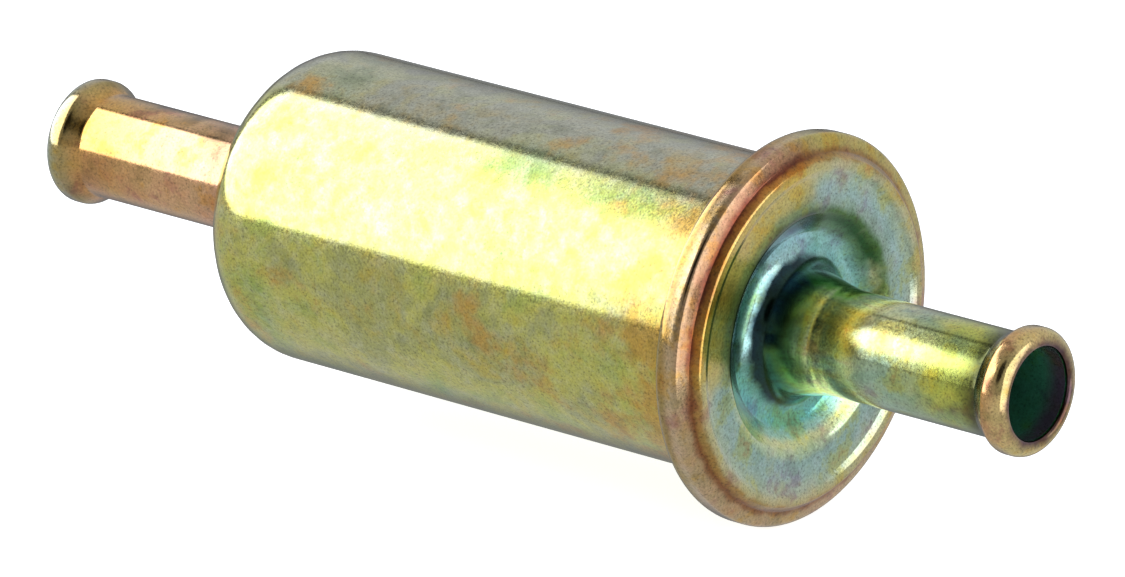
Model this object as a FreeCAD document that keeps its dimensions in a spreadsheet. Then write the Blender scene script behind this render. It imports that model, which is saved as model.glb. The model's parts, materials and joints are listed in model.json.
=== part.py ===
import FreeCAD, Part
import Sketcher
import math
import os

# In-line fuel filter: a drawn steel can with a beaded inlet tube brazed into its
# rounded end, and a stamped cover with a drawn, beaded outlet tube, crimped over
# the can's flange on a seal. Inside, a pleated paper element on a perforated core
# is held against the cover by a coil spring.
#
# The fuel flows along +X. +Z is up. The origin is on the axis, at mid-length.
# Millimetres.

DRIVING_SIZES = {
    # whole filter
    "overall_len": 110.0,
    # hose tubes, for 3/8 in hose
    "tube_r": 4.7625,
    "tube_wall": 0.6,
    "bead_height": 0.9875,
    "bead_len": 3.5,
    "bead_crown": 2.1,
    "bead_lip_round": 1.2,
    "bead_back_round": 0.9,
    "bead_foot_round": 0.5,
    "mouth_round": 0.35,
    # can
    "inlet_len": 25.0,
    "can_r": 14.17,
    "can_wall": 0.7,
    "can_end_share": 0.395,
    "flange_width": 2.55,
    "flange_round": 0.7,
    # inlet joint
    "braze_gap": 0.05,
    "braze_leg": 0.7,
    "collar_width": 2.3,
    "collar_wall": 0.6,
    # end cover
    "outlet_len": 25.3,
    "cover_wall": 0.8,
    "outlet_wall": 0.6,
    "rim_wall": 0.75,
    "rim_gap": 0.15,
    "rim_slope": 0.4,
    "rim_front_round": 0.6,
    "rim_back_round": 1.0,
    "valley_depth": 0.5,
    "valley_in": 1.55,
    "valley_round": 0.35,
    "seam_inset": 0.3,
    "ring_in": 2.5,
    "ring_width": 0.8,
    "ring_height": 0.3,
    "ring_foot": 0.6,
    "ring_round": 0.4,
    "curl_gap": 0.1,
    "curl_edge_round": 0.3,
    "dish_depth": 1.8,
    "dish_top_round": 1.0,
    "dish_floor_round": 0.7,
    "dish_top_r": 10.9,
    "dish_floor_r": 8.5,
    "flare_foot_r": 6.1,
    "flare_len": 5.4,
    "flare_foot_round": 2.0,
    "flare_top_round": 9.0,
    # seal in the seam
    "seal_thick": 0.7,
    "seal_in": 1.95,
    # element
    "element_gap": 1.0,
    "cap_wall": 0.6,
    "cap_round": 0.5,
    "cap_lip_len": 2.6,
    "cap_lip_gap": 0.05,
    "potting_thick": 1.0,
    "collar_out_r": 5.4,
    "collar_len": 2.3,
    "grommet_out_r": 8.5,
    "grommet_thick": 3.1,
    "grommet_round": 0.4,
    "core_r": 6.2,
    "core_wall": 0.4,
    "core_hole_r": 1.2,
    "core_hole_rows": 8,
    "core_hole_cuts": 3,
    "core_end_land": 3.0,
    "paper_thick": 0.3,
    "paper_gap": 0.25,
    "seam_gap": 0.025,
    "pleat_count": 32,
    "clip_thick": 0.3,
    "clip_share": 0.575,
    "clip_gap": 0.02,
    # spring at the inlet end
    "spring_len": 10.0,
    "spring_wire": 1.1,
    "spring_mean_r": 6.5,
    "spring_coils": 5.25,
    "spring_end_coils": 0.9,
    "spring_end_pitch": 1.03,
    "spring_guide_gap": 0.35,
    "seat_wall": 0.5,
    "seat_lip_len": 1.8,
    "seat_margin": 1.2,
    "boss_height": 1.8,
    "boss_round": 0.8,
}

# Sizes that follow from the driving ones: name, formula.
DERIVED_SIZES = [
    ("axis_r", "0 * tube_r"),
    ("inlet_tip", "-overall_len / 2"),
    ("outlet_tip", "overall_len / 2"),
    ("bore_r", "tube_r - tube_wall"),
    ("bead_r", "tube_r + bead_height"),
    ("outlet_bore_r", "tube_r - outlet_wall"),
    ("inlet_bead_crown", "inlet_tip + bead_crown"),
    ("inlet_bead_back", "inlet_tip + bead_len"),
    ("outlet_bead_crown", "outlet_tip - bead_crown"),
    ("outlet_bead_back", "outlet_tip - bead_len"),
    # can, from its closed end to its flange
    ("can_end", "inlet_tip + inlet_len"),
    ("can_end_inside", "can_end + can_wall"),
    ("can_in_r", "can_r - can_wall"),
    ("can_end_round", "can_r * can_end_share"),
    ("can_in_round", "can_end_round - can_wall"),
    ("can_hole_r", "tube_r + braze_gap"),
    ("flange_r", "can_r + flange_width"),
    ("flange_in_round", "flange_round + can_wall"),
    # cover, from its face back to the curl behind the flange
    ("face", "outlet_tip - outlet_len"),
    ("rim_r", "flange_r + rim_gap + rim_wall"),
    ("rim_in_r", "flange_r + rim_gap"),
    ("valley_floor", "face - valley_depth"),
    ("rim_front", "valley_floor - rim_slope"),
    ("seam_front", "valley_floor - cover_wall"),
    ("flange_front", "seam_front - seal_thick"),
    ("flange_back", "flange_front - can_wall"),
    ("rim_back", "flange_back - rim_wall"),
    ("curl_in_r", "can_r + flange_round + curl_gap"),
    ("valley_r", "rim_r - valley_in"),
    ("seam_in_r", "valley_r - seam_inset"),
    ("ring_out_r", "rim_r - ring_in + ring_width / 2"),
    ("ring_in_r", "rim_r - ring_in - ring_width / 2"),
    ("ring_foot_r", "ring_in_r - ring_foot"),
    ("ring_top", "face + ring_height"),
    ("ring_inside", "ring_top - cover_wall"),
    ("face_inside", "face - cover_wall"),
    ("dish_floor", "face - dish_depth"),
    ("dish_inside", "dish_floor - cover_wall"),
    ("dish_in_top_r", "dish_top_r + cover_wall / 2"),
    ("dish_in_floor_r", "dish_floor_r + cover_wall / 2"),
    ("flare_top", "dish_floor + flare_len"),
    ("flare_in_foot_r", "flare_foot_r - cover_wall"),
    ("flare_in_round", "flare_foot_round + cover_wall"),
    # seal
    ("seal_out_r", "rim_in_r - rim_gap"),
    ("seal_in_r", "rim_r - rim_wall - rim_gap - seal_in"),
    # element, from the cover back to the spring
    ("grommet_back", "dish_inside - grommet_thick"),
    ("outlet_cap_back", "grommet_back - cap_wall"),
    ("outlet_cap_front", "grommet_back"),
    ("collar_front", "outlet_cap_front + collar_len"),
    ("collar_in_r", "collar_out_r - cap_wall"),
    ("cap_r", "can_in_r - element_gap"),
    ("cap_in_r", "cap_r - cap_wall"),
    ("outlet_lip", "outlet_cap_back - cap_lip_len"),
    ("outlet_potting_back", "outlet_cap_back - potting_thick"),
    ("collar_tip", "can_end_inside + collar_wall"),
    ("seat_front", "collar_tip + seat_wall"),
    ("inlet_cap_back", "seat_front + spring_len"),
    ("inlet_cap_front", "inlet_cap_back + cap_wall"),
    ("inlet_lip", "inlet_cap_front + cap_lip_len"),
    ("inlet_potting_front", "inlet_cap_front + potting_thick"),
    ("potting_r", "cap_in_r - cap_lip_gap"),
    ("pleat_out_r", "potting_r - paper_gap"),
    ("pleat_in_r", "core_r + paper_gap"),
    ("clip_depth", "clip_share * (pleat_out_r - pleat_in_r - 2 * paper_thick)"),
    ("paper_len", "outlet_potting_back - inlet_potting_front"),
    ("core_len", "outlet_cap_back - inlet_cap_front"),
    ("core_in_r", "core_r - core_wall"),
    ("core_first_hole", "inlet_cap_front + core_end_land + core_hole_r"),
    ("core_hole_span", "core_len - 2 * core_end_land - 2 * core_hole_r"),
    # spring seat and guides
    ("collar_r", "tube_r + collar_width"),
    ("guide_r", "spring_mean_r - spring_wire / 2 - spring_guide_gap"),
    ("guide_in_r", "guide_r - seat_wall"),
    ("seat_r", "spring_mean_r + spring_wire / 2 + seat_margin"),
    ("seat_lip", "seat_front + seat_lip_len"),
    ("boss_tip", "inlet_cap_back - boss_height"),
    ("boss_in_r", "guide_r - cap_wall"),
    ("boss_in_tip", "boss_tip + cap_wall"),
    ("braze_r", "tube_r + braze_leg"),
    ("braze_back", "can_end - braze_leg"),
]

doc = FreeCAD.newDocument("fuel_filter")


# ---------------------------------------------------------------- sizes

def make_sheet():
    """The spreadsheet of named sizes: driving numbers first, then the formulas."""
    sheet = doc.addObject("Spreadsheet::Sheet", "Sizes")
    rows = [(name, str(value)) for name, value in DRIVING_SIZES.items()]
    rows += [(name, "=" + formula) for name, formula in DERIVED_SIZES]
    for number, (name, text) in enumerate(rows, start=1):
        sheet.set(f"A{number}", name)
        sheet.setAlias(f"B{number}", name)
    doc.recompute()
    for number, (name, text) in enumerate(rows, start=1):
        sheet.set(f"B{number}", text)
    doc.recompute()
    return sheet


sizes = make_sheet()


def size(name):
    """The value of one named size."""
    return float(sizes.get(name))


# ---------------------------------------------------------------- sketches and bodies

def origin_part(body, role):
    """One of a body's own origin planes or axes, such as XZ_Plane or X_Axis."""
    for feature in body.Origin.OriginFeatures:
        if feature.Role == role:
            return feature
    raise RuntimeError(f"{body.Label} has no {role}")


def new_body(label):
    body = doc.addObject("PartDesign::Body", label)
    body.Label = label
    return body


def new_sketch(body, name, role):
    sketch = body.newObject("Sketcher::SketchObject", name)
    sketch.AttachmentSupport = [(origin_part(body, role), "")]
    sketch.MapMode = "FlatFace"
    return sketch


def fix_point(sketch, element, corner, names):
    """Tie a sketch point's two coordinates to two named sizes."""
    for kind, name in zip(("DistanceX", "DistanceY"), names):
        value = size(name)
        index = sketch.addConstraint(Sketcher.Constraint(kind, element, corner, value))
        sketch.setExpression(f"Constraints[{index}]", "Sizes." + name)


def draw_outline(sketch, outline):
    """Draw a closed outline of straight lines.

    Each corner is (x name, radius name) or, where it is rounded, (x name, radius
    name, round name). A rounded corner keeps a construction point where the two
    lines would meet, so that the corner itself stays on its named sizes.
    """
    flat = [FreeCAD.Vector(size(corner[0]), size(corner[1]), 0) for corner in outline]
    bends = [rounding(flat, number, corner) for number, corner in enumerate(outline)]
    lines = []
    for number, bend in enumerate(bends):
        following = bends[(number + 1) % len(bends)]
        line = Part.LineSegment(bend["leave"], following["enter"])
        lines.append(sketch.addGeometry(line, False))
    for number, corner in enumerate(outline):
        before, after = lines[number - 1], lines[number]
        if bends[number]["arc"]:
            add_round(sketch, bends[number], before, after, corner, flat[number])
        else:
            sketch.addConstraint(Sketcher.Constraint("Coincident", before, 2, after, 1))
            fix_point(sketch, after, 1, corner[:2])


def rounding(flat, number, corner):
    """Where the outline enters and leaves one corner, and the arc between, if any."""
    point = flat[number]
    if len(corner) < 3:
        return {"enter": point, "leave": point, "arc": None}
    radius = size(corner[2])
    to_last = (flat[number - 1] - point).normalize()
    to_next = (flat[(number + 1) % len(flat)] - point).normalize()
    half = math.acos(to_last.dot(to_next)) / 2
    setback = radius / math.tan(half)
    enter, leave = point + to_last * setback, point + to_next * setback
    centre = point + (to_last + to_next).normalize() * (radius / math.sin(half))
    left_turn = to_next.cross(to_last).z > 0
    first, last = (enter, leave) if left_turn else (leave, enter)
    begin = math.atan2(first.y - centre.y, first.x - centre.x)
    finish = math.atan2(last.y - centre.y, last.x - centre.x)
    if finish < begin:
        finish += 2 * math.pi
    circle = Part.Circle(centre, FreeCAD.Vector(0, 0, 1), radius)
    arc = Part.ArcOfCircle(circle, begin, finish)
    return {"enter": enter, "leave": leave, "arc": arc, "left_turn": left_turn}


def add_round(sketch, bend, before, after, corner, point):
    """Round one corner: an arc tangent to both lines, with its radius named."""
    arc = sketch.addGeometry(bend["arc"], False)
    first, last = (1, 2) if bend["left_turn"] else (2, 1)
    sketch.addConstraint(Sketcher.Constraint("Tangent", before, 2, arc, first))
    sketch.addConstraint(Sketcher.Constraint("Tangent", arc, last, after, 1))
    index = sketch.addConstraint(Sketcher.Constraint("Radius", arc, size(corner[2])))
    sketch.setExpression(f"Constraints[{index}]", "Sizes." + corner[2])
    apex = sketch.addGeometry(Part.Point(point), True)
    fix_point(sketch, apex, 1, corner[:2])
    sketch.addConstraint(Sketcher.Constraint("PointOnObject", apex, 1, before))
    sketch.addConstraint(Sketcher.Constraint("PointOnObject", apex, 1, after))


def turned(label, outline):
    """A sub-part turned about the X axis from one closed outline of (x, radius)."""
    body = new_body(label)
    sketch = new_sketch(body, label + "_outline", "XZ_Plane")
    draw_outline(sketch, outline)
    turn = body.newObject("PartDesign::Revolution", label + "_turn")
    turn.Profile = sketch
    turn.ReferenceAxis = (sketch, ["H_Axis"])
    turn.Angle = 360.0
    body.Tip = turn
    doc.recompute()
    return body


# ---------------------------------------------------------------- housing

def make_can_shell():
    """Deep-drawn can: rounded closed end with the inlet hole, flanged open end."""
    return turned("can_shell", [
        ("can_end", "can_hole_r"),
        ("can_end", "can_r", "can_end_round"),
        ("flange_back", "can_r", "flange_round"),
        ("flange_back", "flange_r"),
        ("flange_front", "flange_r"),
        ("flange_front", "can_in_r", "flange_in_round"),
        ("can_end_inside", "can_in_r", "can_in_round"),
        ("can_end_inside", "can_hole_r"),
    ])


def make_inlet_nipple():
    """Inlet tube: rolled bead at its mouth, collar against the can's inside."""
    return turned("inlet_nipple", [
        ("inlet_tip", "bore_r", "mouth_round"),
        ("inlet_tip", "bead_r", "bead_lip_round"),
        ("inlet_bead_crown", "bead_r", "bead_back_round"),
        ("inlet_bead_back", "tube_r", "bead_foot_round"),
        ("can_end_inside", "tube_r"),
        ("can_end_inside", "collar_r"),
        ("collar_tip", "collar_r"),
        ("collar_tip", "bore_r", "mouth_round"),
    ])


def make_inlet_braze_ring():
    """Fillet of brazing metal where the inlet tube meets the can."""
    return turned("inlet_braze_ring", [
        ("braze_back", "tube_r"),
        ("can_end", "braze_r"),
        ("can_end", "tube_r"),
    ])


def make_end_cover():
    """Stamped cover: dished face, drawn outlet tube, rim curled behind the flange."""
    return turned("end_cover", [
        ("outlet_tip", "outlet_bore_r", "mouth_round"),
        ("outlet_tip", "bead_r", "bead_lip_round"),
        ("outlet_bead_crown", "bead_r", "bead_back_round"),
        ("outlet_bead_back", "tube_r", "bead_foot_round"),
        ("flare_top", "tube_r", "flare_top_round"),
        ("dish_floor", "flare_foot_r", "flare_foot_round"),
        ("dish_floor", "dish_floor_r", "dish_floor_round"),
        ("face", "dish_top_r", "dish_top_round"),
        ("face", "ring_foot_r", "ring_round"),
        ("ring_top", "ring_in_r", "ring_round"),
        ("ring_top", "ring_out_r", "ring_round"),
        ("valley_floor", "valley_r", "valley_round"),
        ("rim_front", "rim_r", "rim_front_round"),
        ("rim_back", "rim_r", "rim_back_round"),
        ("rim_back", "curl_in_r", "curl_edge_round"),
        ("flange_back", "curl_in_r"),
        ("flange_back", "rim_in_r"),
        ("seam_front", "rim_in_r"),
        ("seam_front", "seam_in_r"),
        ("ring_inside", "ring_out_r"),
        ("ring_inside", "ring_in_r"),
        ("face_inside", "ring_foot_r"),
        ("face_inside", "dish_in_top_r", "dish_top_round"),
        ("dish_inside", "dish_in_floor_r", "dish_floor_round"),
        ("dish_inside", "flare_in_foot_r", "flare_in_round"),
        ("flare_top", "outlet_bore_r", "flare_top_round"),
    ])


def make_cover_seal():
    """Flat ring seal between the can's flange and the cover."""
    return turned("cover_seal", [
        ("flange_front", "seal_in_r"),
        ("seam_front", "seal_in_r"),
        ("seam_front", "seal_out_r"),
        ("flange_front", "seal_out_r"),
    ])


# ---------------------------------------------------------------- element

def make_outlet_end_cap():
    """Element's open cap: a lip round the paper and a collar towards the outlet."""
    return turned("outlet_end_cap", [
        ("outlet_lip", "cap_in_r"),
        ("outlet_lip", "cap_r"),
        ("outlet_cap_front", "cap_r", "cap_round"),
        ("outlet_cap_front", "collar_out_r"),
        ("collar_front", "collar_out_r"),
        ("collar_front", "collar_in_r"),
        ("outlet_cap_back", "collar_in_r"),
        ("outlet_cap_back", "cap_in_r"),
    ])


def make_inlet_end_cap():
    """Element's closed cap: a lip round the paper and a boss inside the spring."""
    return turned("inlet_end_cap", [
        ("inlet_lip", "cap_in_r"),
        ("inlet_lip", "cap_r"),
        ("inlet_cap_back", "cap_r", "cap_round"),
        ("inlet_cap_back", "guide_r"),
        ("boss_tip", "guide_r", "boss_round"),
        ("boss_tip", "axis_r"),
        ("boss_in_tip", "axis_r"),
        ("boss_in_tip", "boss_in_r"),
        ("inlet_cap_front", "boss_in_r"),
        ("inlet_cap_front", "cap_in_r"),
    ])


def make_potting(label, back, front):
    """Ring of adhesive that bonds one end of the paper into its cap."""
    return turned(label, [
        (back, "core_r"),
        (back, "potting_r"),
        (front, "potting_r"),
        (front, "core_r"),
    ])


def make_outlet_grommet():
    """Rubber ring on the outlet cap's collar that seals against the cover."""
    return turned("outlet_grommet", [
        ("grommet_back", "collar_out_r"),
        ("grommet_back", "grommet_out_r", "grommet_round"),
        ("dish_inside", "grommet_out_r", "grommet_round"),
        ("dish_inside", "collar_out_r"),
    ])


def make_core_tube():
    """Perforated core: each cut goes right through, so it makes two rows of holes."""
    body = turned("core_tube", [
        ("inlet_cap_front", "core_in_r"),
        ("inlet_cap_front", "core_r"),
        ("outlet_cap_back", "core_r"),
        ("outlet_cap_back", "core_in_r"),
    ])
    before = body.Shape.Volume
    sketch = new_sketch(body, "core_holes", "XY_Plane")
    hole = sketch.addGeometry(
        Part.Circle(FreeCAD.Vector(size("core_first_hole"), 0, 0), FreeCAD.Vector(0, 0, 1),
                    size("core_hole_r")), False)
    index = sketch.addConstraint(Sketcher.Constraint("Radius", hole, size("core_hole_r")))
    sketch.setExpression(f"Constraints[{index}]", "Sizes.core_hole_r")
    index = sketch.addConstraint(
        Sketcher.Constraint("DistanceX", hole, 3, size("core_first_hole")))
    sketch.setExpression(f"Constraints[{index}]", "Sizes.core_first_hole")
    sketch.addConstraint(Sketcher.Constraint("PointOnObject", hole, 3, -1))
    cut = body.newObject("PartDesign::Pocket", "core_cut")
    cut.Profile = sketch
    cut.Type = "ThroughAll"
    cut.Midplane = True
    doc.recompute()
    pattern = body.newObject("PartDesign::MultiTransform", "core_pattern")
    pattern.Originals = [cut]
    along = doc.addObject("PartDesign::LinearPattern", "core_along")
    along.Direction = (sketch, ["H_Axis"])
    along.setExpression("Length", "Sizes.core_hole_span")
    along.setExpression("Occurrences", "Sizes.core_hole_rows")
    around = doc.addObject("PartDesign::PolarPattern", "core_around")
    around.Axis = (sketch, ["H_Axis"])
    around.setExpression("Occurrences", "Sizes.core_hole_cuts")
    around.setExpression("Angle", "180 - 180 / Sizes.core_hole_cuts")
    body.addObject(along)
    body.addObject(around)
    pattern.Transformations = [along, around]
    body.Tip = pattern
    doc.recompute()
    if body.Shape.Volume >= before:
        raise RuntimeError("the core tube's holes cut nothing")
    return body


# A fold sharper than this is cut short instead of running out to a spike.
LEAST_MITRE = 0.35


def thickened(path, thick):
    """Closed outline of an open zigzag path given a thickness, mitred at its folds."""
    left, right = [], []
    for number, point in enumerate(path):
        ahead = path[min(number + 1, len(path) - 1)] - path[min(number, len(path) - 2)]
        behind = path[max(number, 1)] - path[max(number - 1, 0)]
        normals = [FreeCAD.Vector(0, -d.z, d.y).normalize() for d in (ahead, behind)]
        mitre = (normals[0] + normals[1]).normalize()
        reach = thick / 2 / max(mitre.dot(normals[0]), LEAST_MITRE)
        left.append(point + mitre * reach)
        right.append(point - mitre * reach)
    return left + right[::-1]


def fold_point(radius, turn):
    """Point at a radius and a share of a full turn from the top, in the YZ plane."""
    angle = 2 * math.pi * turn
    return FreeCAD.Vector(0, radius * math.sin(angle), radius * math.cos(angle))


def make_pleated_paper():
    """Paper folded into pleats, its two ends side by side at the top, in the clip."""
    thick = size("paper_thick")
    half_seam = thick / 2 + size("seam_gap")
    outer = size("pleat_out_r") - thick
    inner = size("pleat_in_r") + thick
    pleats = int(size("pleat_count"))
    path = [FreeCAD.Vector(0, half_seam, outer)]
    for number in range(pleats):
        path.append(fold_point(inner, (number + 0.5) / pleats))
        path.append(fold_point(outer, (number + 1.0) / pleats))
    path[-1] = FreeCAD.Vector(0, -half_seam, outer)
    rim = thickened(path, thick)
    face = Part.Face(Part.makePolygon(rim + rim[:1]))
    paper = doc.addObject("Part::Feature", "pleated_paper")
    paper.Label = "pleated_paper"
    paper.Shape = face.extrude(FreeCAD.Vector(size("paper_len"), 0, 0))
    paper.Placement.Base = FreeCAD.Vector(size("inlet_potting_front"), 0, 0)
    return paper


def make_pleat_seam_clip():
    """Folded metal clip that holds the paper's two ends together."""
    thick = size("paper_thick")
    seam = thick / 2 + size("seam_gap")
    top = size("pleat_out_r") - thick
    valley = fold_point(size("pleat_in_r") + thick, 0.5 / size("pleat_count"))
    lean = (valley.y - seam) / (top - valley.z)
    cover = thick / 2 * math.hypot(1, lean) + size("clip_gap")
    wall = size("clip_thick") * math.hypot(1, lean)
    crown = top + size("clip_gap")
    foot = crown - size("clip_depth")

    def flank(height, offset):
        return seam + (top - height) * lean + cover + offset

    half = [
        (flank(foot, 0), foot),
        (flank(foot, wall), foot),
        (flank(crown, wall), crown + size("clip_thick")),
    ]
    inner = [(flank(crown, 0), crown)]
    outline = half + [(-y, z) for y, z in half[::-1]] + [(-y, z) for y, z in inner] + inner
    corners = [FreeCAD.Vector(0, y, z) for y, z in outline]
    face = Part.Face(Part.makePolygon(corners + corners[:1]))
    clip = doc.addObject("Part::Feature", "pleat_seam_clip")
    clip.Label = "pleat_seam_clip"
    clip.Shape = face.extrude(FreeCAD.Vector(size("paper_len"), 0, 0))
    clip.Placement.Base = FreeCAD.Vector(size("inlet_potting_front"), 0, 0)
    return clip


# ---------------------------------------------------------------- spring

def make_spring_seat():
    """Ring between the spring and the inlet collar, with a lip inside the spring."""
    return turned("spring_seat", [
        ("collar_tip", "guide_in_r"),
        ("collar_tip", "seat_r"),
        ("seat_front", "seat_r"),
        ("seat_front", "guide_r"),
        ("seat_lip", "guide_r"),
        ("seat_lip", "guide_in_r"),
    ])


POINTS_PER_COIL = 16


def make_element_spring():
    """Round-wire compression spring whose end coils lie closed."""
    wire = size("spring_wire")
    mean_r = size("spring_mean_r")
    coils = size("spring_coils")
    closed = size("spring_end_coils")
    closed_rise = closed * wire * size("spring_end_pitch")
    open_rise = size("spring_len") - wire - 2 * closed_rise

    def rise(turn):
        if turn < closed:
            return closed_rise * turn / closed
        if turn > coils - closed:
            return closed_rise + open_rise + closed_rise * (turn - coils + closed) / closed
        return closed_rise + open_rise * (turn - closed) / (coils - 2 * closed)

    steps = round(coils * POINTS_PER_COIL)
    points = []
    for step in range(steps + 1):
        turn = coils * step / steps
        point = fold_point(mean_r, turn)
        point.x = rise(turn)
        points.append(point)
    path = Part.BSplineCurve()
    path.interpolate(points)
    start, heading = path.value(path.FirstParameter), path.tangent(path.FirstParameter)[0]
    section = Part.Wire(Part.makeCircle(wire / 2, start, heading))
    sweep = Part.BRepOffsetAPI.MakePipeShell(Part.Wire(path.toShape()))
    sweep.setBiNormalMode(FreeCAD.Vector(1, 0, 0))
    sweep.add(section)
    sweep.build()
    sweep.makeSolid()
    spring = doc.addObject("Part::Feature", "element_spring")
    spring.Label = "element_spring"
    spring.Shape = sweep.shape()
    spring.Placement.Base = FreeCAD.Vector(size("seat_front") + wire / 2, 0, 0)
    return spring


# ---------------------------------------------------------------- build and write

def check(parts):
    """Stop if any object failed or any sub-part is not one valid closed solid."""
    for item in doc.Objects:
        if "Invalid" in item.State or "Error" in item.State:
            raise RuntimeError(f"{item.Label} did not compute: {item.State}")
    for part in parts:
        shape = part.Shape
        if shape.isNull() or not shape.isValid() or len(shape.Solids) != 1:
            raise RuntimeError(f"{part.Label} is not one valid solid")


def main():
    parts = [
        make_can_shell(),
        make_inlet_nipple(),
        make_inlet_braze_ring(),
        make_end_cover(),
        make_cover_seal(),
        make_outlet_end_cap(),
        make_inlet_end_cap(),
        make_potting("outlet_potting", "outlet_potting_back", "outlet_cap_back"),
        make_potting("inlet_potting", "inlet_cap_front", "inlet_potting_front"),
        make_outlet_grommet(),
        make_core_tube(),
        make_pleated_paper(),
        make_pleat_seam_clip(),
        make_spring_seat(),
        make_element_spring(),
    ]
    doc.recompute()
    check(parts)
    os.makedirs("parts", exist_ok=True)
    for part in parts:
        part.Shape.exportStep(f"parts/{part.Label}.step")
        box = part.Shape.BoundBox
        print(f"{part.Label}: {part.Shape.Volume:.1f} mm3, x {box.XMin:.2f} to {box.XMax:.2f}")


main()
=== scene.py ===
"""In-line fuel filter: the plated housing, the element inside it and a studio stage.

The housing's pieces are turned from outlines, as the real ones are drawn, rolled and
crimped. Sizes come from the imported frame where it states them. Metres; +X is the way
the fuel flows, +Z is up, and the origin is on the axis at mid-length.
"""

import json
import math

import bmesh
import bpy
from bpy.props import FloatProperty, FloatVectorProperty, IntProperty, PointerProperty
from mathutils import Matrix, Vector


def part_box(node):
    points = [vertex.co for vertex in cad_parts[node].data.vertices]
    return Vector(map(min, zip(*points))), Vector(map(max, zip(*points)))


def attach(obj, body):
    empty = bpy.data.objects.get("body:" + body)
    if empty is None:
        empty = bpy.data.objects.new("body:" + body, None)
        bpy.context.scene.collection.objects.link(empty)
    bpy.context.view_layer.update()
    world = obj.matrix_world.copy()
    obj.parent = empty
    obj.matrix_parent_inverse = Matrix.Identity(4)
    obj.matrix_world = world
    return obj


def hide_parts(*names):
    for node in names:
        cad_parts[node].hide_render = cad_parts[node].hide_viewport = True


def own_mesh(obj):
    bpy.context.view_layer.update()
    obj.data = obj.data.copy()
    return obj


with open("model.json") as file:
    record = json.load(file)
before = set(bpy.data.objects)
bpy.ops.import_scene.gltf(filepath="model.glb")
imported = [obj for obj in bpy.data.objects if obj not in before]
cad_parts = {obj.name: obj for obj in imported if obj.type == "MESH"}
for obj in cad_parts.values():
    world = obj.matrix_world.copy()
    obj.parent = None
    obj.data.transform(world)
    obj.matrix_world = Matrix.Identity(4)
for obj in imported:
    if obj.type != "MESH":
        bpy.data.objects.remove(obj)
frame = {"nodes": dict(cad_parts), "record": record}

bl_info = {
    "name": "In-line fuel filter",
    "version": (1, 0, 0),
    "blender": (4, 5, 0),
    "location": "View3D > Sidebar > Fuel filter",
    "description": "Builds a zinc-plated in-line fuel filter around its CAD frame",
    "category": "Object",
}

MM = 0.001
SHARP = math.radians(35)   # edges that turn more than this are left sharp
MERGE = 1e-7               # points nearer than this are one
MOUTH_STEP = 0.5 * MM      # a bore's outline ends this far inside its mouth
GUARD = 0.25 * MM          # distance of a support point from its corner
LONG_RUN = 1.0 * MM        # straight runs longer than this get support points

HOUSING = "housing"
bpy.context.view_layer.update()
MOUNTS = {mount["name"]: mount for mount in frame["record"]["mounts"]}


def mount_radius(name):
    """Radius of a round mount, in metres."""
    return MOUNTS[name]["dims"]["r_mm"] * MM


def node_box(node):
    """Lowest and highest x, and the largest radius about the axis, of a CAD node."""
    low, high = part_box(node)
    return low.x, high.x, max(high.y, high.z)


CAN_START, CAN_STOP, FLANGE_R = node_box("can_shell")
INLET_TIP, COLLAR_TIP, COLLAR_R = node_box("inlet_nipple")
RIM_BACK, OUTLET_TIP, RIM_R = node_box("end_cover")
BRAZE_START, BRAZE_STOP, BRAZE_R = node_box("inlet_braze_ring")
SPRING_START, SPRING_STOP, SPRING_OUT_R = node_box("element_spring")
SEAL_FRONT = node_box("cover_seal")[1]
TUBE_R = mount_radius("outlet_tube")
BORE_R = mount_radius("outlet_bore")
CAN_R = mount_radius("can_barrel")


# ------------------------------------------------------------------ properties


def length(label, millimetres, text):
    """A length property whose default is given in millimetres."""
    return FloatProperty(
        name=label, description=text, default=millimetres * MM, min=0.0, unit="LENGTH"
    )


def amount(label, number, text):
    """A property for a plain number that is never negative."""
    return FloatProperty(name=label, description=text, default=number, min=0.0)


def count(label, number, text):
    """A property for a number of faces."""
    return IntProperty(name=label, description=text, default=number, min=8)


def linear(code):
    """Linear RGB of an sRGB hex code such as 'c8a040'."""
    parts = [int(code[i:i + 2], 16) / 255 for i in (0, 2, 4)]
    return tuple(
        part / 12.92 if part <= 0.04045 else ((part + 0.055) / 1.055) ** 2.4
        for part in parts
    )


def colour(label, code, text):
    """A colour property whose default is an sRGB hex code."""
    return FloatVectorProperty(
        name=label, description=text, default=linear(code), size=3, min=0.0, max=1.0,
        subtype="COLOR",
    )


class HousingSizes(bpy.types.PropertyGroup):
    """Sheet, bead and collar sizes of the can and the two tubes."""

    wall: length("Sheet", 0.7, "Thickness of the can's sheet")
    end_round: length("End round", 5.6, "Outside radius of the can's closed end")
    hole_gap: length("Hole gap", 0.05, "Room between the can's hole and the tube")
    hole_round: length("Hole round", 0.04, "Radius on the edges of the can's hole")
    flange_round: length("Flange round", 0.15, "Radius on the edges of the can's flange")
    bead_r: length("Bead radius", 5.75, "Radius over the rolled beads")
    bead_flat: length("Bead crown", 2.1, "Distance from a mouth to its bead crown's end")
    bead_len: length("Bead length", 3.5, "Distance from a mouth to the foot of its bead")
    lip_round: length("Lip round", 1.2, "Radius of the bead's outer lip")
    crown_round: length("Crown round", 0.9, "Radius where the bead's crown turns down")
    foot_round: length("Foot round", 0.5, "Radius where the bead meets the tube")
    mouth_round: length("Mouth round", 0.35, "Radius inside the mouth")
    collar_wall: length("Collar", 0.6, "Thickness of the inlet's collar inside the can")
    collar_round: length("Collar round", 0.12, "Radius on the collar's edges")
    segments: count("Segments", 288, "Faces round each turned piece")


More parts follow.
